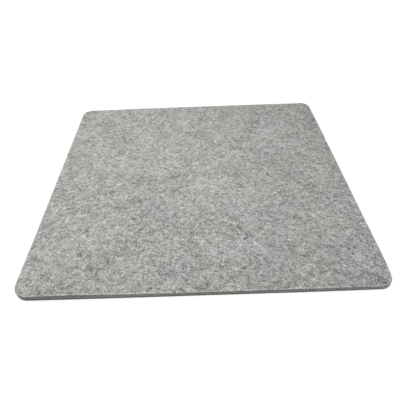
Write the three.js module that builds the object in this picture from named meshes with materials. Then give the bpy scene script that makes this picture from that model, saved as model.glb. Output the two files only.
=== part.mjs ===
// Square wool pressing mat, die-cut from needled felt: two heathered face plies with a thin, paler core web
// between them. Millimetres, +Z up. The origin is the middle of the face that lies on the table.
import * as THREE from "three";

// Driving dimensions
const INCH = 25.4;
const MAT_WIDTH = 17 * INCH; // along X
const MAT_DEPTH = 17 * INCH; // along Y
const CORNER_RADIUS = 0.75 * INCH;
const BOTTOM_PLY = 2.55; // thicknesses, from the table up
const CORE_WEB = 1.25;
const TOP_PLY = 2.55;

// Form of the cut edge
const TOP_ARRIS = 1.0; // radius of the soft edge round the pressing face
const BOTTOM_ARRIS = 0.6; // radius of the tighter edge that the die leaves underneath
const PARTING_ROUND = 0.25; // radius at which each rim turns in where two plies meet
const CUT_DISH = 0.3; // felt springs back behind the die, so the wall draws in at mid height
const MOST_ROUND = 0.45; // an edge's radius is at most this share of its ply's thickness

// Facets
const CORNER_STEPS = 8;
const ROUND_STEPS = 3;
const WALL_STEPS = 4;

// Levels at which the plies meet
const CORE_LOW = BOTTOM_PLY;
const CORE_HIGH = CORE_LOW + CORE_WEB;
const MAT_HEIGHT = CORE_HIGH + TOP_PLY;

const felt = { roughness: 0.95, metalness: 0, flatShading: true };
const heatherFelt = new THREE.MeshStandardMaterial({ color: 0xa6a6a3, ...felt });
const coreFelt = new THREE.MeshStandardMaterial({ color: 0xc2c1bb, ...felt });

// How far the die-cut wall lies inside the outline at a height: nothing at its soft edges, most halfway between.
function dishAt(height) {
  const share = THREE.MathUtils.mapLinear(height, BOTTOM_ARRIS, MAT_HEIGHT - TOP_ARRIS, 0, 1);
  const within = THREE.MathUtils.clamp(share, 0, 1);
  return CUT_DISH * 4 * within * (1 - within);
}

// A ply's rim seen in section, as points of inset (x) and height (y), from its lower face to its upper face.
function rimProfile(low, high, lowRound, highRound) {
  const most = MOST_ROUND * (high - low);
  const lower = Math.min(lowRound, most);
  const upper = Math.min(highRound, most);
  const wallLow = low + lower;
  const wallHigh = high - upper;
  const rim = new THREE.Path();
  rim.absarc(lower, wallLow, lower, -Math.PI / 2, -Math.PI, true);
  for (let step = 1; step <= WALL_STEPS; step++) {
    rim.lineTo(0, THREE.MathUtils.lerp(wallLow, wallHigh, step / WALL_STEPS));
  }
  rim.absarc(upper, wallHigh, upper, Math.PI, Math.PI / 2, true);
  return rim.getPoints(ROUND_STEPS).map((point) => new THREE.Vector2(point.x + dishAt(point.y), point.y));
}

// The mat's rounded outline, drawn in on all sides by inset, counter-clockwise from above.
function outline(inset) {
  const radius = CORNER_RADIUS - inset;
  const centreX = MAT_WIDTH / 2 - CORNER_RADIUS;
  const centreY = MAT_DEPTH / 2 - CORNER_RADIUS;
  const quarter = Math.PI / 2;
  const shape = new THREE.Shape();
  shape.absarc(centreX, centreY, radius, 0, quarter);
  shape.absarc(-centreX, centreY, radius, quarter, 2 * quarter);
  shape.absarc(-centreX, -centreY, radius, 2 * quarter, 3 * quarter);
  shape.absarc(centreX, -centreY, radius, 3 * quarter, 4 * quarter);
  return shape.getPoints(CORNER_STEPS);
}

// Closed solid swept from a rim profile: one outline at each point of the profile, joined by walls, with flat faces.
function slab(profile) {
  const rings = profile.map((point) => outline(point.x));
  const count = rings[0].length;
  const positions = rings.flatMap((ring, level) => ring.flatMap((point) => [point.x, point.y, profile[level].y]));
  const index = [];
  for (let level = 0; level < rings.length - 1; level++) {
    for (let corner = 0; corner < count; corner++) {
      const a = level * count + corner;
      const b = level * count + ((corner + 1) % count);
      index.push(a, b, b + count, a, b + count, a + count);
    }
  }
  const topLevel = (rings.length - 1) * count;
  for (const [a, b, c] of THREE.ShapeUtils.triangulateShape(rings[0], [])) {
    index.push(a, c, b, topLevel + a, topLevel + b, topLevel + c);
  }
  const geometry = new THREE.BufferGeometry();
  geometry.setAttribute("position", new THREE.Float32BufferAttribute(positions, 3));
  geometry.setIndex(index);
  geometry.computeVertexNormals();
  return geometry;
}

function ply(name, material, low, high, lowRound, highRound) {
  const mesh = new THREE.Mesh(slab(rimProfile(low, high, lowRound, highRound)), material);
  mesh.name = name;
  return mesh;
}

const pressingMat = new THREE.Group();
pressingMat.name = "wool_pressing_mat";
pressingMat.add(
  ply("bottom_felt_ply", heatherFelt, 0, CORE_LOW, BOTTOM_ARRIS, PARTING_ROUND),
  ply("core_felt_web", coreFelt, CORE_LOW, CORE_HIGH, PARTING_ROUND, PARTING_ROUND),
  ply("top_felt_ply", heatherFelt, CORE_HIGH, MAT_HEIGHT, PARTING_ROUND, TOP_ARRIS),
);

export default pressingMat;
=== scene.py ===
"""Wool pressing mat: a square slab of needled felt with heathered faces, a die-cut edge and a loose nap."""
import math

import bpy
import numpy as np
from mathutils import Color, Matrix, Vector, noise

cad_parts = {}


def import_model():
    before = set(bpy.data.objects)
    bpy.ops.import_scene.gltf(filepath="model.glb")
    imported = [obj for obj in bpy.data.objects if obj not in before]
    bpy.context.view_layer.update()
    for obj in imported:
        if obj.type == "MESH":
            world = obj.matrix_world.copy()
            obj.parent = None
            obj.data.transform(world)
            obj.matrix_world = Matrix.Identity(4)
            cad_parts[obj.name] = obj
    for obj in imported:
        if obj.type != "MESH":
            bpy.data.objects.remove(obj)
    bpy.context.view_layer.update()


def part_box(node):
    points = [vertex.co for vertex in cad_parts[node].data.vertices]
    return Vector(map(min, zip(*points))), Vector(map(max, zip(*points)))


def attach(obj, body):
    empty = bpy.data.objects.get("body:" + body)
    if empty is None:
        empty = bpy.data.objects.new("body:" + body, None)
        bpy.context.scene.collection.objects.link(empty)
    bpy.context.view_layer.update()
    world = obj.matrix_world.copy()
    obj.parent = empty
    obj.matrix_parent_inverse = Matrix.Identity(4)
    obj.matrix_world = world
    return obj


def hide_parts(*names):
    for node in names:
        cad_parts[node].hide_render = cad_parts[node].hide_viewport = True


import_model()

# Sizes of the solids, in metres, from model.glb
MM = 0.001
BOTTOM_LOW, BOTTOM_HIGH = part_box("bottom_felt_ply")
CORE_LOW, CORE_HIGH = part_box("core_felt_web")
TOP_LOW, TOP_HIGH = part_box("top_felt_ply")
HALF_WIDTH = TOP_HIGH.x
HALF_DEPTH = TOP_HIGH.y
MAT_HEIGHT = TOP_HIGH.z

# Form of the cut edge, as the solids have it
CORNER_RADIUS = 19.05 * MM
TOP_ARRIS = 1.0 * MM
BOTTOM_ARRIS = 0.6 * MM
PARTING_ROUND = 0.25 * MM
CUT_DISH = 0.3 * MM
STRAIGHT = np.array([HALF_WIDTH, HALF_DEPTH]) - CORNER_RADIUS

# Facets: the hidden ends of the plies have one cell for each CAP_STEP of the fine ones
CORNER_CELLS = 13
SIDE_CELLS = 250
CELLS = 2 * CORNER_CELLS + SIDE_CELLS
ARRIS_STEPS = 6
PARTING_STEPS = 3
WALL_STEPS = 8
CAP_STEP = 12
CAP_MARGIN = 6 * MM

# Unevenness of the felt: wavelength and depth, long waves first
FACE_WAVES = ((70 * MM, 0.12 * MM), (14 * MM, 0.07 * MM), (4.5 * MM, 0.05 * MM))
UNDER_WAVES = ((40 * MM, 0.06 * MM), (9 * MM, 0.05 * MM), (4.5 * MM, 0.03 * MM))
UNDER_PRESSED = 0.02 * MM
EDGE_WAVES = ((26 * MM, 0.12 * MM), (6 * MM, 0.08 * MM))
WAVE_SHIFT = 7.3
STRATUM = 0.45 * MM
STRATUM_LENGTH = 9 * MM
STRATUM_DEPTH = 0.08 * MM

# Loft: the felt is a little thicker or thinner in places. A swell has a centre, a reach and a height
LOFT_WAVE = 150 * MM
LOFT_DEPTH = 0.2 * MM
FRONT_LEFT = (-HALF_WIDTH, -HALF_DEPTH)
FRONT_RIGHT = (HALF_WIDTH, -HALF_DEPTH)
SWELLS = (((-150 * MM, -HALF_DEPTH), 55 * MM, 1.7 * MM), (FRONT_RIGHT, 50 * MM, -0.5 * MM))

# Curl: the front corners lie a little off the table, given in the same way
CURLS = ((FRONT_LEFT, 60 * MM, 0.5 * MM), (FRONT_RIGHT, 60 * MM, 0.85 * MM))

# Trims: near the corners the cut strays a little out of its line or inside it, given in the same way
TRIMS = (
    ((HALF_WIDTH, 188 * MM), 18 * MM, -0.9 * MM),
    ((209 * MM, 211 * MM), 7 * MM, 1.2 * MM),
    ((182 * MM, HALF_DEPTH), 18 * MM, -0.8 * MM),
    ((-182 * MM, HALF_DEPTH), 14 * MM, -1.0 * MM),
    ((-210 * MM, 210 * MM), 10 * MM, 0.5 * MM),
    ((HALF_WIDTH, -198 * MM), 9 * MM, -0.8 * MM),
    ((207 * MM, -213 * MM), 7 * MM, 0.7 * MM),
)


# Outline and rim of the mat


def dish_at(height):
    """How far the die-cut wall lies inside the outline at a height."""
    share = (height - BOTTOM_ARRIS) / (MAT_HEIGHT - TOP_ARRIS - BOTTOM_ARRIS)
    within = min(max(share, 0.0), 1.0)
    return CUT_DISH * 4 * within * (1 - within)


def quarter_turns(radius):
    """Turns at the points of an edge's quarter round: fewer where two plies meet."""
    steps = PARTING_STEPS if radius <= PARTING_ROUND else ARRIS_STEPS
    return np.linspace(0, math.pi / 2, steps + 1)


def rim_profile(low, high, low_round, high_round):
    """A rim in section, as (inset, height) pairs from its lower face to its upper one."""
    profile = []
    for turn in quarter_turns(low_round):
        profile.append((low_round * (1 - math.sin(turn)), low + low_round * (1 - math.cos(turn))))
    for height in np.linspace(low + low_round, high - high_round, WALL_STEPS + 1)[1:-1]:
        profile.append((0.0, height))
    for turn in quarter_turns(high_round):
        profile.append((high_round * (1 - math.cos(turn)), high - high_round * (1 - math.sin(turn))))
    return [(inset + dish_at(height), height) for inset, height in profile]


def grid_places(inset):
    """Places of an even grid inside the outline, drawn in by inset, its corners bent to quarter discs."""
    radius = CORNER_RADIUS - inset

    def stations(straight):
        corner = np.linspace(straight, straight + radius, CORNER_CELLS + 1)
        side = np.linspace(-straight, straight, SIDE_CELLS + 1)
        return np.concatenate([-corner[:0:-1], side, corner[1:]])

    x, y = np.meshgrid(stations(STRAIGHT[0]), stations(STRAIGHT[1]))
    u = np.clip((np.abs(x) - STRAIGHT[0]) / radius, 0, 1)
    v = np.clip((np.abs(y) - STRAIGHT[1]) / radius, 0, 1)
    corner = (u > 0) & (v > 0)
    bent_x = np.sign(x) * (STRAIGHT[0] + radius * u * np.sqrt(1 - v * v / 2))
    bent_y = np.sign(y) * (STRAIGHT[1] + radius * v * np.sqrt(1 - u * u / 2))
    return np.where(corner, bent_x, x), np.where(corner, bent_y, y)


def border(grid):
    """The grid's border values, counter-clockwise from its low corner."""
    return np.concatenate([grid[0, :-1], grid[:-1, -1], grid[-1, :0:-1], grid[:0:-1, 0]])


def outline():
    """Points of the mat's outline and the directions out of it."""
    x, y = grid_places(0.0)
    points = np.stack([border(x), border(y)], 1)
    out = points - np.clip(points, -STRAIGHT, STRAIGHT)
    return points, out / np.linalg.norm(out, axis=1)[:, None]


def depth_inside(points):
    """How far inside the mat's outline plane points lie."""
    past = np.abs(points) - STRAIGHT
    outer = np.linalg.norm(np.maximum(past, 0), axis=-1)
    inner = np.minimum(past.max(axis=-1), 0)
    return CORNER_RADIUS - outer - inner


def running_length(points):
    """Length of a line of points up to each of them."""
    return np.concatenate([[0], np.cumsum(np.linalg.norm(np.diff(points, axis=0), axis=1))])


def read_off(places, lengths, values):
    """Values known at lengths along a line, read off at places between them."""
    return np.stack([np.interp(places, lengths, column) for column in values.T], 1)


# Unevenness


def waves(place, layers):
    """Unevenness at a place: smooth noise of each wavelength and depth."""
    total = 0.0
    for number, (length, depth) in enumerate(layers):
        total += depth * noise.noise(Vector(place) / length + Vector((0, 0, WAVE_SHIFT * number)))
    return total


def rounds(x, y, places):
    """Sum at a place of smooth rounds, each given by its centre, reach and height."""
    total = 0.0
    for (centre_x, centre_y), reach, height in places:
        away = math.hypot(x - centre_x, y - centre_y) / reach
        total += height * math.exp(-away * away)
    return total


def loft(x, y):
    """How many times its plain thickness the felt has at a place."""
    wave = noise.noise(Vector((x, y, 0.0)) / LOFT_WAVE)
    return 1 + (LOFT_DEPTH * wave + rounds(x, y, SWELLS)) / MAT_HEIGHT


def edge_push(x, y, z):
    """How far the cut wall stands out of its line: trims, broad waves, and strata along the layers."""
    strata = noise.noise(Vector((x / STRATUM_LENGTH, y / STRATUM_LENGTH, z / STRATUM)))
    return rounds(x, y, TRIMS) + waves((x, y, z), EDGE_WAVES) + STRATUM_DEPTH * strata


def settle(places, outs):
    """Where the plain mat's points lie in the uneven felt. outs leads out of the rim, zero on a face."""
    settled = []
    for (x, y, z), (out_x, out_y) in zip(places.tolist(), outs.tolist()):
        push = edge_push(x, y, z) if out_x or out_y else 0.0
        height = z * loft(x, y) + rounds(x, y, CURLS)
        over = (z - MAT_HEIGHT + TOP_ARRIS) / TOP_ARRIS
        if over > 0:
            height += over * waves((x, y, 0.0), FACE_WAVES)
        under = 1 - z / BOTTOM_ARRIS
        if under > 0:
            height += under * max(0.0, waves((x, y, 0.0), UNDER_WAVES) - UNDER_PRESSED)
        settled.append((x + out_x * push, y + out_y * push, height))
    return np.array(settled)


# Felt plies

# Bake map of a ply: the face takes most of the square, the rim four strips, each hidden end a small square
BAKE_MAP = "OFBake"
MAP_EDGE = 0.004
MAP_FACE = 0.944
FACE_STRIPS = (0.952, 0.998)
LONE_STRIPS = (0.06, 0.99)
STRIP_SHARE = 0.8
MAP_CAPS = ((0.956, 0.01), (0.956, 0.06))
MAP_CAP_SIDE = 0.03


def map_square(points, low, side, flip):
    """Plane points of the mat laid on a square of the map."""
    u = (points[:, 0] + HALF_WIDTH) / (2 * HALF_WIDTH)
    v = (points[:, 1] + HALF_DEPTH) / (2 * HALF_DEPTH)
    return np.stack([low[0] + side * (1 - u if flip else u), low[1] + side * v], 1)


def rim_faces(profile, strips):
    """Faces of a ply's rim, between the rings of its profile, and the map's places of their corners."""
    count = 4 * CELLS
    rise = running_length(profile)
    level = np.repeat(np.arange(len(profile) - 1), count)
    step = np.tile(np.arange(count), len(profile) - 1)
    a = level * count + step
    b = level * count + (step + 1) % count
    pitch = (strips[1] - strips[0]) / 4
    foot = strips[0] + pitch * (step // CELLS)
    left = MAP_EDGE + MAP_FACE * (step % CELLS) / CELLS
    right = left + MAP_FACE / CELLS
    low = foot + pitch * STRIP_SHARE * rise[level] / rise[-1]
    high = foot + pitch * STRIP_SHARE * rise[level + 1] / rise[-1]
    faces = np.stack([a, b, b + count, a + count], 1)
    marks = np.stack([left, low, right, low, right, high, left, high], 1).reshape(-1, 2)
    return faces.tolist(), marks


def grid_numbers(ring, first):
    """Point numbers of a face's grid, whose border is a ring and whose inner points start at first."""
    side = CELLS + 1
    numbers = np.empty((side, side), int)
    numbers[1:-1, 1:-1] = first + np.arange((side - 2) ** 2).reshape(side - 2, side - 2)
    numbers[0, :-1] = ring[:CELLS]
    numbers[:-1, -1] = ring[CELLS : 2 * CELLS]
    numbers[-1, :0:-1] = ring[2 * CELLS : 3 * CELLS]
    numbers[:0:-1, 0] = ring[3 * CELLS :]
    return numbers


def grid_cells(numbers):
    """Faces between the points of a grid, seen from above."""
    corners = (numbers[:-1, :-1], numbers[:-1, 1:], numbers[1:, 1:], numbers[1:, :-1])
    return np.stack([corner.ravel() for corner in corners], 1)


def joining_strip(ring, inner):
    """Triangles between a ring and one inside it, which has a point for each CAP_STEP of the outer ones."""
    start = np.arange(len(inner)) * CAP_STEP
    ahead = np.roll(inner, -1)
    half = CAP_STEP // 2
    triangles = [np.stack([inner, ring[start + half], ahead], 1)]
    for step in range(CAP_STEP):
        near = ring[start + step]
        far = ring[(start + step + 1) % len(ring)]
        triangles.append(np.stack([near, far, inner if step < half else ahead], 1))
    return np.concatenate(triangles)


def end_grid(ring, first, inset, fine):
    """A ply's end inside its ring: places of its new points, numbered from first, and groups of faces."""
    if fine:
        x, y = (grid[1:-1, 1:-1] for grid in grid_places(inset))
        groups = [grid_cells(grid_numbers(ring, first))]
    else:
        x, y = (grid[::CAP_STEP, ::CAP_STEP] for grid in grid_places(inset + CAP_MARGIN))
        numbers = first + np.arange(x.size).reshape(x.shape)
        groups = [grid_cells(numbers), joining_strip(ring, border(numbers))]
    return np.stack([x.ravel(), y.ravel()], 1), groups


def new_piece(name, places, faces, marks):
    """An object with a smooth mesh of these points and faces, and its bake map."""
    mesh = bpy.data.meshes.new(name)
    mesh.from_pydata(places.tolist(), [], faces)
    mesh.polygons.foreach_set("use_smooth", np.ones(len(mesh.polygons), bool))
    layer = mesh.uv_layers.new(name=BAKE_MAP)
    layer.uv.foreach_set("vector", np.asarray(marks, np.float32).ravel())
    mesh.update()
    piece = bpy.data.objects.new(name, mesh)
    bpy.context.scene.collection.objects.link(piece)
    return piece


def ply_mesh(name, profile, fine_end):
    """A ply's closed mesh: rings round its rim, and grids on its ends, coarse where hidden."""
    points, out = outline()
    count = len(points)
    plane = np.concatenate([points - out * inset for inset, height in profile])
    places = np.column_stack([plane, np.repeat([height for inset, height in profile], count)])
    outs = np.tile(out, (len(profile), 1))
    faces, marks = rim_faces(profile, FACE_STRIPS if fine_end else LONE_STRIPS)
    rings = {"bottom": np.arange(count), "top": np.arange(count) + len(places) - count}
    ends = {"bottom": profile[0], "top": profile[-1]}
    for end, cap in zip(("bottom", "top"), MAP_CAPS):
        upward = end == "top"
        fine = end == fine_end
        inset, height = ends[end]
        inner, groups = end_grid(rings[end], len(places), inset, fine)
        places = np.concatenate([places, np.column_stack([inner, np.full(len(inner), height)])])
        outs = np.concatenate([outs, np.zeros(inner.shape)])
        low, side = ((MAP_EDGE, MAP_EDGE), MAP_FACE) if fine else (cap, MAP_CAP_SIDE)
        for cells in groups:
            turned = cells if upward else cells[:, ::-1]
            faces += turned.tolist()
            spots = map_square(places[turned.ravel(), :2], low, side, not upward)
            marks = np.concatenate([marks, spots])
    return new_piece(name, settle(places, outs), faces, marks)


def felt_plies():
    """The three plies, by the node that each stands for."""
    bottom = rim_profile(BOTTOM_LOW.z, BOTTOM_HIGH.z, BOTTOM_ARRIS, PARTING_ROUND)
    core = rim_profile(CORE_LOW.z, CORE_HIGH.z, PARTING_ROUND, PARTING_ROUND)
    top = rim_profile(TOP_LOW.z, TOP_HIGH.z, PARTING_ROUND, TOP_ARRIS)
    return {
        "bottom_felt_ply": ply_mesh("bottom_felt", bottom, "bottom"),
        "core_felt_web": ply_mesh("core_felt", core, None),
        "top_felt_ply": ply_mesh("top_felt", top, "top"),
    }


# Nap: loose fibres on the felt, each a thin closed tube with one end or both sunk in it

STRAND_POINTS = 6
STRAND_SIDES = 3
STRAND_SINK = 0.1 * MM
STRAND_BEND = 0.9
STRAND_WOBBLE = 0.22
STRAND_TIP = 0.35
THIN_POWER = 4
STRAND_PLACES = np.linspace(0, 1, STRAND_POINTS)
STRAND_ARCH = np.sin(math.pi * STRAND_PLACES)

# Fibres of the two faces: a pair gives the least and the most, and a rise is a fibre's arch off the felt
FACE_STRANDS = 3000
UNDER_STRANDS = 2000
FACE_MARGIN = 2.0 * MM
FACE_LENGTHS = (4 * MM, 13 * MM)
FACE_RADII = (0.03 * MM, 0.14 * MM)
UNDER_RADII = (0.03 * MM, 0.05 * MM)
FACE_RISES = (0.02 * MM, 0.16 * MM)
UNDER_RISE = -0.01 * MM
PALE_TONES = (0.66, 1.0)
DARK_TONES = (0.0, 0.36)
UNDER_TONES = (0.1, 0.9)

# Fibres of the cut edge, which lie more along it than across it. A share has a loose end that stands off
EDGE_STRANDS = 5000
EDGE_LENGTHS = (1.5 * MM, 5 * MM)
EDGE_FLATTENING = 0.5
EDGE_RADII = (0.02 * MM, 0.06 * MM)
EDGE_RISES = (0.02 * MM, 0.14 * MM)
EDGE_TONES = (0.25, 0.9)
LOOSE_SHARE = 0.3
LOOSE_RISES = (0.1 * MM, 0.6 * MM)

# Bake map of the nap: a column for each tone, with a strip for each side of a tube and its tips at the ends
TONE_STEPS = 64
COLUMN_EDGE = 0.2
SIDE_STRIP = (1 - 2 * COLUMN_EDGE) / STRAND_SIDES
TIP_ROOM = 0.02


def wander(rng, count, lengths):
    """Plane paths of fibres about the origin, each of its own length, heading and bend."""
    length = rng.uniform(*lengths, count)
    heading = rng.uniform(0, 2 * math.pi, count)
    bend = rng.normal(0, STRAND_BEND, count)
    wobble = rng.normal(0, STRAND_WOBBLE, (count, STRAND_POINTS)).cumsum(axis=1)
    angle = heading[:, None] + bend[:, None] * STRAND_PLACES + wobble
    step = length[:, None] / (STRAND_POINTS - 1)
    path = np.stack([np.cos(angle) * step, np.sin(angle) * step], 2).cumsum(axis=1)
    return path - path.mean(axis=1, keepdims=True)


def thickness(rng, count, radii):
    """Radii of fibres: most are thin and a few are thick."""
    thinnest, thickest = radii
    return thinnest + (thickest - thinnest) * rng.random(count) ** THIN_POWER


def tube_places(paths, lifts, radii):
    """Points of tubes along the fibres' paths. lifts leads out of the felt at each point of a path."""
    along = np.gradient(paths, axis=1)
    along /= np.linalg.norm(along, axis=2, keepdims=True)
    side = np.cross(along, lifts)
    side /= np.linalg.norm(side, axis=2, keepdims=True)
    over = np.cross(side, along)
    size = radii[:, None] * (STRAND_TIP + (1 - STRAND_TIP) * np.sqrt(np.maximum(STRAND_ARCH, 0)))
    rings = []
    for turn in np.arange(STRAND_SIDES) * 2 * math.pi / STRAND_SIDES:
        rings.append(paths + (math.cos(turn) * side + math.sin(turn) * over) * size[..., None])
    return np.stack(rings, 2).reshape(-1, 3)


def tube_faces(tones):
    """Faces of closed tubes, one for each tone, and the map's places of their corners."""
    count = len(tones)
    number = np.arange(count * STRAND_POINTS * STRAND_SIDES).reshape(count, STRAND_POINTS, STRAND_SIDES)
    column = np.floor(tones * TONE_STEPS)
    height = TIP_ROOM + (1 - 2 * TIP_ROOM) * STRAND_PLACES
    faces = []
    marks = []
    for corner in range(STRAND_SIDES):
        ahead = (corner + 1) % STRAND_SIDES
        a, b = number[:, :-1, corner], number[:, :-1, ahead]
        c, d = number[:, 1:, ahead], number[:, 1:, corner]
        faces.append(np.stack([a, d, c, b], 2).reshape(-1, 4))
        strip = (column + COLUMN_EDGE + SIDE_STRIP * corner) / TONE_STEPS
        near = np.broadcast_to(strip[:, None], a.shape)
        far = near + SIDE_STRIP / TONE_STEPS
        low = np.broadcast_to(height[:-1], a.shape)
        high = np.broadcast_to(height[1:], a.shape)
        marks.append(np.stack([near, low, near, high, far, high, far, low], 2).reshape(-1, 2))
    for ring, tip in ((number[:, 0], 0.0), (number[:, -1, ::-1], 1 - TIP_ROOM)):
        faces.append(ring)
        near = (column + COLUMN_EDGE) / TONE_STEPS
        far = (column + 1 - COLUMN_EDGE) / TONE_STEPS
        low = np.full(count, tip)
        marks.append(np.stack([near, low, far, low, far, low + TIP_ROOM], 1).reshape(-1, 2))
    return [face for group in faces for face in group.tolist()], np.concatenate(marks)


def strand_piece(name, paths, lifts, radii, tones):
    """One mesh of all the fibres along these paths."""
    faces, marks = tube_faces(tones)
    return new_piece(name, tube_places(paths, lifts, radii), faces, marks)


def face_nap(name, seed, count, level, tones):
    """Fibres lying on the pressing face, or pressed flat under the mat, at that level."""
    rng = np.random.default_rng(seed)
    upward = level > 0
    way = 1 if upward else -1
    paths = np.empty((0, STRAND_POINTS, 2))
    while len(paths) < count:
        centres = rng.uniform(-1, 1, (count, 1, 2)) * np.array([HALF_WIDTH, HALF_DEPTH])
        drawn = centres + wander(rng, count, FACE_LENGTHS)
        paths = np.concatenate([paths, drawn[depth_inside(drawn).min(axis=1) > FACE_MARGIN]])
    plane = paths[:count].reshape(-1, 2)
    settled = settle(np.column_stack([plane, np.full(len(plane), level)]), np.zeros(plane.shape))
    places = settled.reshape(count, STRAND_POINTS, 3)
    rise = rng.uniform(*FACE_RISES, count) if upward else np.full(count, UNDER_RISE)
    places[..., 2] += way * ((rise + STRAND_SINK)[:, None] * STRAND_ARCH - STRAND_SINK)
    lifts = np.broadcast_to((0.0, 0.0, float(way)), places.shape)
    radii = thickness(rng, count, FACE_RADII if upward else UNDER_RADII)
    return strand_piece(name, places, lifts, radii, rng.uniform(*tones, count))


def edge_nap(name, seed, count, tones):
    """Fibres along the cut wall and over its soft edges."""
    rng = np.random.default_rng(seed)
    points, out = outline()
    closed = np.concatenate([points, points[:1]])
    closed_out = np.concatenate([out, out[:1]])
    reach = running_length(closed)
    section = np.array(rim_profile(0.0, MAT_HEIGHT, BOTTOM_ARRIS, TOP_ARRIS))
    climb = running_length(section)
    slope = np.gradient(section, axis=0)
    slope /= np.linalg.norm(slope, axis=1)[:, None]
    path = wander(rng, count, EDGE_LENGTHS) * np.array([1.0, EDGE_FLATTENING])
    foot = BOTTOM_ARRIS * math.pi / 2
    start = np.stack([rng.uniform(0, reach[-1], count), rng.uniform(foot, climb[-1], count)], 1)
    around, up = np.moveaxis(path + start[:, None], 2, 0)
    around = np.mod(around, reach[-1]).ravel()
    up = np.clip(up, foot, climb[-1]).ravel()
    place = read_off(around, reach, closed)
    way = read_off(around, reach, closed_out)
    inset, height = read_off(up, climb, section).T
    lean, rise = read_off(up, climb, slope).T
    settled = settle(np.column_stack([place - way * inset[:, None], height]), way)
    lifts = np.column_stack([way * rise[:, None], lean])
    loose = rng.random(count) < LOOSE_SHARE
    stand = np.where(loose, rng.uniform(*LOOSE_RISES, count), rng.uniform(*EDGE_RISES, count))
    form = np.where(loose[:, None], STRAND_PLACES ** 2, STRAND_ARCH)
    off = (stand + STRAND_SINK)[:, None] * form - STRAND_SINK
    places = (settled + lifts * off.reshape(-1, 1)).reshape(count, STRAND_POINTS, 3)
    radii = thickness(rng, count, EDGE_RADII)
    return strand_piece(name, places, lifts.reshape(places.shape), radii, rng.uniform(*tones, count))


def nap_pieces():
    """Pale and dark fibres on the pressing face, and mixed ones on the cut edge and underneath."""
    return [
        face_nap("nap_pale", seed=11, count=FACE_STRANDS, level=MAT_HEIGHT, tones=PALE_TONES),
        face_nap("nap_dark", seed=12, count=FACE_STRANDS, level=MAT_HEIGHT, tones=DARK_TONES),
        edge_nap("nap_edge", seed=13, count=EDGE_STRANDS, tones=EDGE_TONES),
        face_nap("nap_under", seed=14, count=UNDER_STRANDS, level=0.0, tones=UNDER_TONES),
    ]


# Materials

# Sockets of a Mix node for each kind of value: its factor, its two inputs and its output
MIX_SOCKETS = {"FLOAT": (0, 2, 3, 0), "RGBA": (0, 6, 7, 2)}
WHITE = (1.0, 1.0, 1.0, 1.0)


class Tree:
    """The node tree of a new material or world, with short calls for adding and linking nodes."""

    def __init__(self, owner):
        owner.use_nodes = True
        self.tree = owner.node_tree
        self.tree.nodes.clear()

    def feed(self, socket, value):
        """Give an input a value of its own, or a link to another node's output."""
        if isinstance(value, bpy.types.NodeSocket):
            self.tree.links.new(value, socket)
        else:
            socket.default_value = value

    def add(self, kind, inputs=None, **settings):
        """A new node with these settings, and with its inputs fed by name."""
        node = self.tree.nodes.new(kind)
        for name, value in settings.items():
            setattr(node, name, value)
        for name, value in (inputs or {}).items():
            self.feed(node.inputs[name], value)
        return node

    def math(self, operation, *values):
        """The result of a sum on numbers."""
        node = self.add("ShaderNodeMath", operation=operation)
        for socket, value in zip(node.inputs, values):
            self.feed(socket, value)
        return node.outputs[0]

    def vector(self, operation, *values):
        """The result of a sum on vectors: a vector, or a number for a length."""
        node = self.add("ShaderNodeVectorMath", operation=operation)
        for socket, value in zip(node.inputs, values):
            self.feed(socket, value)
        return node.outputs["Value" if operation == "LENGTH" else "Vector"]

    def parts(self, vector):
        """The three numbers of a vector."""
        return tuple(self.add("ShaderNodeSeparateXYZ", {"Vector": vector}).outputs)

    def turned(self, place, angle):
        """A place turned about the upright axis."""
        inputs = {"Vector": place, "Angle": angle}
        return self.add("ShaderNodeVectorRotate", inputs, rotation_type="Z_AXIS").outputs["Vector"]

    def between(self, value, low, high, to_low=0.0, to_high=1.0):
        """value taken smoothly from the span low to high onto to_low to to_high."""
        inputs = {"Value": value, "From Min": low, "From Max": high, "To Min": to_low, "To Max": to_high}
        return self.add("ShaderNodeMapRange", inputs, interpolation_type="SMOOTHSTEP").outputs["Result"]

    def mix(self, kind, share, first, second):
        """first where share is 0 and second where it is 1."""
        node = self.add("ShaderNodeMix", data_type=kind)
        factor, low, high, result = MIX_SOCKETS[kind]
        self.feed(node.inputs[factor], share)
        self.feed(node.inputs[low], first)
        self.feed(node.inputs[high], second)
        return node.outputs[result]

    def mix_shader(self, share, first, second):
        """The shader first where share is 0 and second where it is 1."""
        node = self.add("ShaderNodeMixShader", {"Fac": share})
        self.feed(node.inputs[1], first.outputs[0])
        self.feed(node.inputs[2], second.outputs[0])
        return node.outputs[0]

    def total(self, *values):
        """All the numbers added up."""
        result = values[0]
        for value in values[1:]:
            result = self.math("ADD", result, value)
        return result

    def noise(self, place, length, detail=2.0):
        """Smooth noise of about that wavelength, from -0.5 to 0.5."""
        node = self.add("ShaderNodeTexNoise", {"Vector": place, "Scale": 1 / length, "Detail": detail})
        return self.math("SUBTRACT", node.outputs["Fac"], 0.5)

    def noise_layers(self, place, layers, detail=2.0):
        """Noise of each wavelength, times its depth."""
        return [self.math("MULTIPLY", self.noise(place, length, detail), depth) for length, depth in layers]

    def vector_noise(self, place, length):
        """Smooth noise of about that wavelength in three directions, each from -0.5 to 0.5."""
        node = self.add("ShaderNodeTexNoise", {"Vector": place, "Scale": 1 / length, "Detail": 1.0})
        return self.vector("SUBTRACT", node.outputs["Color"], (0.5, 0.5, 0.5))


# Shine of the wool: a felt's roughness goes from its hollows to its crests, a fibre's along its length
SPECULAR = 0.12
SHEEN = 0.12
SHEEN_ROUGHNESS = 0.5
FELT_ROUGHNESS = (1.0, 0.86)
FIBRE_ROUGHNESS = (0.95, 0.8)


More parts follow.
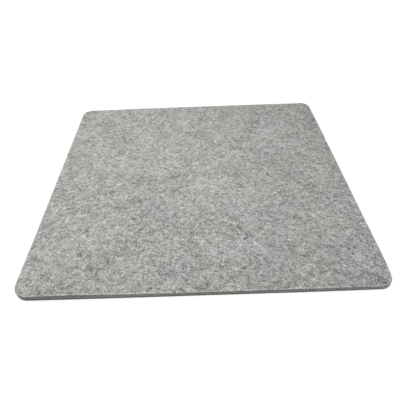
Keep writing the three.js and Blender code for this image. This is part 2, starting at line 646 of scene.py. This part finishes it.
def new_material(name):
    """A material of matt wool, its node tree and its shader."""
    material = bpy.data.materials.new(name)
    tree = Tree(material)
    shader = tree.add("ShaderNodeBsdfPrincipled")
    tree.add("ShaderNodeOutputMaterial", {"Surface": shader.outputs["BSDF"]})
    shader.inputs["Specular IOR Level"].default_value = SPECULAR
    shader.inputs["Sheen Weight"].default_value = SHEEN
    shader.inputs["Sheen Roughness"].default_value = SHEEN_ROUGHNESS
    return material, tree, shader


def millimetres(tree):
    """The place on the object, in millimetres."""
    place = tree.add("ShaderNodeTexCoord").outputs["Object"]
    return tree.vector("MULTIPLY", place, (1 / MM, 1 / MM, 1 / MM))


# Heather strokes: cell, length and width in millimetres, and the tone that a stroke adds or takes
HEATHER = (
    (2.4, 2.8, 0.8, 0.22),
    (4.0, 4.6, 1.2, 0.2),
    (7.5, 8.5, 2.2, 0.17),
    (14.0, 15.0, 4.4, 0.15),
)
STROKE_SHIFT = (31.7, 17.9, 0.0)
STROKE_BEND = 0.5
STROKE_FADE = 1.4

# Clouds and fine wool: wavelength in millimetres and depth of tone
CLOUDS = ((60.0, 0.1), (25.0, 0.25))
WOOL = ((11.0, 0.36), (5.5, 0.36), (2.8, 0.5), (1.4, 0.8), (0.7, 1.06))
MIDDLE_TONE = 0.5

# Lay of the fibres, and how far they wander from it, in millimetres
LAY_TURN = 0.35
LAY = (0.9, 1.12, 1.0)
WARP_LENGTH = 3.0
WARP = 2.2

# Hairs: lines through stretched noise, which add or take tone by turns
HAIR_STRETCH = 3.5
HAIR_SPACING = 3.2
HAIR_WIDTH = 0.028
HAIR_TONE = 0.13
HAIR_TURNS = (0.2, 1.0, 1.8, 2.6)
HAIR_SHIFT = (13.1, 29.3, 5.7)

# Painted highlight: a paler band along the upper edge, where the fuzz catches the light, by how far it lies
# inside the outline in millimetres
HIGHLIGHT_OUTER = (0.1, 0.6)
HIGHLIGHT_INNER = (2.0, 1.1)
HIGHLIGHT_TONE = 0.18


def shifted(tree, place, shift, seed):
    """A place moved on for a pattern of its own."""
    return tree.vector("ADD", place, tuple(seed * step for step in shift))


def strokes(tree, place, cell, length, width, seed):
    """One short bent stroke in each cell of a scattered pattern, 1 along its middle and 0 clear of it."""
    spot = shifted(tree, place, STROKE_SHIFT, seed)
    inputs = {"Vector": spot, "Scale": 1 / cell}
    scatter = tree.add("ShaderNodeTexVoronoi", inputs, voronoi_dimensions="2D")
    chance = tree.add("ShaderNodeSeparateColor", {"Color": scatter.outputs["Color"]}).outputs
    local = tree.vector("SUBTRACT", spot, scatter.outputs["Position"])
    angle = tree.math("MULTIPLY", chance["Red"], 2 * math.pi)
    x, y = tree.parts(tree.turned(local, angle))[:2]
    along = tree.math("MULTIPLY", x, 2 / length)
    square = tree.math("MULTIPLY", along, along)
    bend = tree.math("MULTIPLY", tree.math("SUBTRACT", chance["Green"], 0.5), STROKE_BEND * length)
    across = tree.math("MULTIPLY", tree.math("MULTIPLY_ADD", square, bend, y), 2 / width)
    reach = tree.math("MULTIPLY_ADD", across, across, square)
    return tree.math("MULTIPLY", tree.between(reach, STROKE_FADE, 0.0), chance["Blue"])


def hairs(tree, place, turn, seed):
    """Thin wandering lines that run mostly along one direction, 1 on them and 0 clear of them."""
    turned = tree.turned(shifted(tree, place, HAIR_SHIFT, seed), turn)
    stretched = tree.vector("MULTIPLY", turned, (1 / HAIR_STRETCH, 1.0, 1.0))
    level = tree.math("ABSOLUTE", tree.noise(stretched, HAIR_SPACING, detail=1.0))
    return tree.between(level, HAIR_WIDTH, 0.0)


def edge_depth(tree, place):
    """How far inside the mat's outline a place lies, in millimetres."""
    flat = tree.vector("MULTIPLY", place, (1.0, 1.0, 0.0))
    straight = (STRAIGHT[0] / MM, STRAIGHT[1] / MM, 0.0)
    past = tree.vector("SUBTRACT", tree.vector("ABSOLUTE", flat), straight)
    outer = tree.vector("LENGTH", tree.vector("MAXIMUM", past, (0.0, 0.0, 0.0)))
    x, y = tree.parts(past)[:2]
    inner = tree.math("MINIMUM", tree.math("MAXIMUM", x, y), 0.0)
    return tree.math("SUBTRACT", CORNER_RADIUS / MM, tree.math("ADD", outer, inner))


def heather_tone(tree, place):
    """Tone of the mixed fibres on a face, about the middle one on average, with a painted highlight along
    the upper edge.
    """
    laid = tree.vector("MULTIPLY", tree.turned(place, LAY_TURN), LAY)
    wormy = tree.vector("MULTIPLY_ADD", tree.vector_noise(laid, WARP_LENGTH), (WARP, WARP, WARP), laid)
    tones = [MIDDLE_TONE, *tree.noise_layers(laid, CLOUDS)]
    for number, (cell, length, width, tone) in enumerate(HEATHER):
        dark = strokes(tree, wormy, cell, length, width, 2 * number + 1)
        pale = strokes(tree, wormy, cell, length, width, 2 * number + 2)
        tones.append(tree.math("MULTIPLY", tree.math("SUBTRACT", pale, dark), tone))
    tones += tree.noise_layers(wormy, WOOL, detail=1.0)
    for number, turn in enumerate(HAIR_TURNS):
        tone = HAIR_TONE if number % 2 else -HAIR_TONE
        tones.append(tree.math("MULTIPLY", hairs(tree, wormy, turn, number), tone))
    # Painted highlight: a paler band along the upper edge, where the fuzz catches the light
    inside = edge_depth(tree, place)
    edge_highlight = tree.math("MULTIPLY", tree.between(inside, *HIGHLIGHT_OUTER), tree.between(inside, *HIGHLIGHT_INNER))
    tones.append(tree.math("MULTIPLY", edge_highlight, HIGHLIGHT_TONE))
    return tree.total(*tones)


# Layers of the cut wall and the grain of its fibre ends: wavelength in millimetres and depth of tone
STRATA_SQUEEZE = 9.0
STRATA = ((9.0, 0.6), (3.5, 0.8), (1.2, 0.8))
CUT_GRAIN = ((2.6, 0.7), (1.3, 1.45), (0.5, 1.2))

# Painted light on the cut wall, standing in for light that falls from the right: painted shade towards the
# front left corner and painted light towards the front right one. Reach in millimetres, and tone
PAINTED_LIGHT_REACH = (150.0, 20.0)
WALL_PAINTED_LIGHT = ((FRONT_LEFT, -0.08), (FRONT_RIGHT, 0.05))


def strata_tone(tree, place):
    """Tone of the cut wall: fibres lying in thin layers, and cut across, with painted shade towards the
    front left corner and painted light towards the front right one.
    """
    flat = tree.vector("MULTIPLY", place, (1.0, 1.0, STRATA_SQUEEZE))
    tones = [MIDDLE_TONE, *tree.noise_layers(flat, STRATA), *tree.noise_layers(place, CUT_GRAIN)]
    # Painted shade at the front left corner and painted light at the front right one
    for (x, y), tone in WALL_PAINTED_LIGHT:
        away = tree.vector("LENGTH", tree.vector("SUBTRACT", place, (x / MM, y / MM, 0.0)))
        tones.append(tree.math("MULTIPLY", tree.between(away, *PAINTED_LIGHT_REACH), tone))
    return tree.total(*tones)


# Shades of the fibres, dark, middle and pale: red, green and blue as a screen shows them
FACE_SHADES = ((85, 85, 82), (168, 168, 165), (222, 222, 218))
WALL_SHADES = ((90, 90, 89), (160, 159, 156), (208, 206, 201))
CORE_SHADES = ((126, 125, 123), (200, 198, 194), (230, 228, 222))
FIBRE_SHADES = ((75, 75, 73), (160, 160, 157), (230, 230, 226))
FULL_LEVEL = 255

# Tint: how far red, green and blue drift between warm and cool, and over what length in millimetres
TINT = (0.08, 0.0, 0.095)
TINT_LENGTH = 60.0

# Relief in the materials, and how upright a surface's normal is where the wall's look becomes the face's
BUMP_HEIGHT = 0.25 * MM
BUMP_STRENGTH = 0.6
FACE_UPRIGHT = (0.3, 0.8)


def fibre_ramp(tree, tone, shades):
    """Colour of a tone from 0 to 1, in even steps through the shades."""
    ramp = tree.add("ShaderNodeValToRGB", {"Fac": tone})
    elements = ramp.color_ramp.elements
    places = np.linspace(0, 1, len(shades)).tolist()
    for place in places[1:-1]:
        elements.new(place)
    for element, shade in zip(elements, shades):
        screen = Color([level / FULL_LEVEL for level in shade])
        element.color = (*screen.from_srgb_to_scene_linear(), 1.0)
    return ramp.outputs["Color"]


def drift(tree, place, colour):
    """A colour that drifts a little between warm and cool over the mat."""
    tint = tree.vector("MULTIPLY_ADD", tree.vector_noise(place, TINT_LENGTH), TINT, WHITE[:3])
    return tree.vector("MULTIPLY", colour, tint)


def finish_felt(tree, shader, colour, height):
    """Colour, relief and roughness of a felt surface."""
    inputs = {"Height": height, "Strength": BUMP_STRENGTH, "Distance": BUMP_HEIGHT}
    tree.feed(shader.inputs["Base Color"], colour)
    tree.feed(shader.inputs["Normal"], tree.add("ShaderNodeBump", inputs).outputs["Normal"])
    tree.feed(shader.inputs["Roughness"], tree.between(height, 0.0, 1.0, *FELT_ROUGHNESS))


def heather_felt():
    """Felt of the outer plies: heather on their faces and strata on the cut wall."""
    material, tree, shader = new_material("heather_felt")
    place = millimetres(tree)
    upright = tree.parts(tree.add("ShaderNodeNewGeometry").outputs["Normal"])[2]
    face_share = tree.between(tree.math("ABSOLUTE", upright), *FACE_UPRIGHT)
    face = heather_tone(tree, place)
    wall = strata_tone(tree, place)
    face_colour = drift(tree, place, fibre_ramp(tree, face, FACE_SHADES))
    wall_colour = fibre_ramp(tree, wall, WALL_SHADES)
    colour = tree.mix("RGBA", face_share, wall_colour, face_colour)
    finish_felt(tree, shader, colour, tree.mix("FLOAT", face_share, wall, face))
    return material


def core_felt():
    """Felt of the core web, with more undyed wool, which shows at the cut wall alone."""
    material, tree, shader = new_material("core_felt")
    wall = strata_tone(tree, millimetres(tree))
    finish_felt(tree, shader, fibre_ramp(tree, wall, CORE_SHADES), wall)
    return material


def loose_fibre():
    """Fibres of the nap: the map's first number is a fibre's tone, and its second runs along the fibre."""
    material, tree, shader = new_material("loose_fibre")
    tone, along = tree.parts(tree.add("ShaderNodeUVMap", uv_map=BAKE_MAP).outputs["UV"])[:2]
    tree.feed(shader.inputs["Base Color"], fibre_ramp(tree, tone, FIBRE_SHADES))
    tree.feed(shader.inputs["Roughness"], tree.between(along, 0.0, 1.0, *FIBRE_ROUGHNESS))
    return material


# Stage

# Floor: it glows white to the camera, a little less near the mat, and keeps the mat's shadow
FLOOR_SIDE = 6.0
FLOOR_DROP = 0.1 * MM
FLOOR_GLOW = 0.91
FLOOR_GLOW_FAR = 1.0
GLOW_NEAR = 0.33
GLOW_FAR = 0.7
FLOOR_SHADE = 0.2
FLOOR_BOUNCE = 0.8

# Light: a soft even room, a key lamp above and a weak cool fill from the right
WORLD_LIGHT = 0.17
KEY_PLACE = Vector((-0.2, 0.045, 0.8))
KEY_WIDTH = 0.3
KEY_DEPTH = 0.45
KEY_POWER = 6.09
KEY_COLOUR = (1.0, 0.992, 0.98)
FILL_PLACE = Vector((0.9, -0.25, 0.25))
FILL_WIDTH = 0.25
FILL_DEPTH = 0.3
FILL_POWER = 1.92
FILL_COLOUR = (0.7, 0.91, 1.0)

# Camera at the photograph's view: its focal length and optical middle in pixels, and its turns in radians
FRAME_PIXELS = 400
FOCAL_PIXELS = 395.18
MIDDLE_PIXEL = 194.21
SENSOR_WIDTH = 36.0
CLIP_START = 10 * MM
CAMERA_PLACE = Vector((-1.65, -479.75, 372.41)) * MM
CAMERA_YAW = -0.01384
CAMERA_PITCH = 0.71631
CAMERA_ROLL = 0.04358


def seen_directly(tree):
    """1 for what the camera sees, also by mirror or through glass, and 0 for light on the mat."""
    path = tree.add("ShaderNodeLightPath").outputs
    direct = tree.math("MAXIMUM", path["Is Camera Ray"], path["Is Glossy Ray"])
    return tree.math("MAXIMUM", direct, path["Is Transmission Ray"])


def diffuse(tree, level):
    """A plain grey shader."""
    return tree.add("ShaderNodeBsdfDiffuse", {"Color": (level, level, level, 1.0)})


def floor():
    """The white surface that the mat lies on."""
    half = FLOOR_SIDE / 2
    mesh = bpy.data.meshes.new("floor")
    corners = [(-half, -half), (half, -half), (half, half), (-half, half)]
    mesh.from_pydata([(x, y, -FLOOR_DROP) for x, y in corners], [], [(0, 1, 2, 3)])
    plane = bpy.data.objects.new("floor", mesh)
    bpy.context.scene.collection.objects.link(plane)
    material = bpy.data.materials.new("floor")
    tree = Tree(material)
    away = tree.vector("LENGTH", tree.add("ShaderNodeTexCoord").outputs["Object"])
    strength = tree.between(away, GLOW_NEAR, GLOW_FAR, FLOOR_GLOW, FLOOR_GLOW_FAR)
    glow = tree.add("ShaderNodeEmission", {"Color": WHITE, "Strength": strength})
    seen = tree.add("ShaderNodeAddShader")
    tree.feed(seen.inputs[0], glow.outputs[0])
    tree.feed(seen.inputs[1], diffuse(tree, FLOOR_SHADE).outputs[0])
    surface = tree.mix_shader(seen_directly(tree), diffuse(tree, FLOOR_BOUNCE), seen)
    tree.add("ShaderNodeOutputMaterial", {"Surface": surface})
    mesh.materials.append(material)


def world():
    """The room: white to the camera, and a low even light on the mat."""
    room = bpy.data.worlds.new("studio")
    tree = Tree(room)
    light = tree.add("ShaderNodeBackground", {"Color": WHITE, "Strength": WORLD_LIGHT})
    white = tree.add("ShaderNodeBackground", {"Color": WHITE, "Strength": 1.0})
    tree.add("ShaderNodeOutputWorld", {"Surface": tree.mix_shader(seen_directly(tree), light, white)})
    bpy.context.scene.world = room


def lamp(name, place, width, depth, power, colour):
    """A soft box that faces the middle of the mat."""
    light = bpy.data.lights.new(name, "AREA")
    light.shape = "RECTANGLE"
    light.size = width
    light.size_y = depth
    light.energy = power
    light.color = colour
    thing = bpy.data.objects.new(name, light)
    thing.location = place
    thing.rotation_euler = (-place).to_track_quat("-Z", "Y").to_euler()
    bpy.context.scene.collection.objects.link(thing)


def camera():
    """The camera, turned by its yaw, its pitch and then its roll."""
    data = bpy.data.cameras.new("camera")
    data.sensor_width = SENSOR_WIDTH
    data.lens = SENSOR_WIDTH * FOCAL_PIXELS / FRAME_PIXELS
    data.shift_x = 0.5 - MIDDLE_PIXEL / FRAME_PIXELS
    data.clip_start = CLIP_START
    thing = bpy.data.objects.new("camera", data)
    level = math.cos(CAMERA_PITCH)
    ahead = Vector((math.sin(CAMERA_YAW) * level, math.cos(CAMERA_YAW) * level, -math.sin(CAMERA_PITCH)))
    right = Vector((math.cos(CAMERA_YAW), -math.sin(CAMERA_YAW), 0.0))
    down = ahead.cross(right)
    turned_right = math.cos(CAMERA_ROLL) * right + math.sin(CAMERA_ROLL) * down
    turned_up = math.sin(CAMERA_ROLL) * right - math.cos(CAMERA_ROLL) * down
    thing.matrix_world = Matrix((turned_right, turned_up, -ahead)).transposed().to_4x4()
    thing.location = CAMERA_PLACE
    bpy.context.scene.collection.objects.link(thing)
    bpy.context.scene.camera = thing


# Assembly

camera()
floor()
world()
lamp("key", KEY_PLACE, KEY_WIDTH, KEY_DEPTH, KEY_POWER, KEY_COLOUR)
lamp("fill", FILL_PLACE, FILL_WIDTH, FILL_DEPTH, FILL_POWER, FILL_COLOUR)
heather = heather_felt()
core_material = core_felt()
fibre = loose_fibre()
for node, piece in felt_plies().items():
    is_core = node == "core_felt_web"
    piece.data.materials.append(core_material if is_core else heather)
    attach(piece, "root")
    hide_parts(node)
for piece in nap_pieces():
    piece.data.materials.append(fibre)
    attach(piece, "root")

bpy.context.scene.view_settings.view_transform = "Standard"
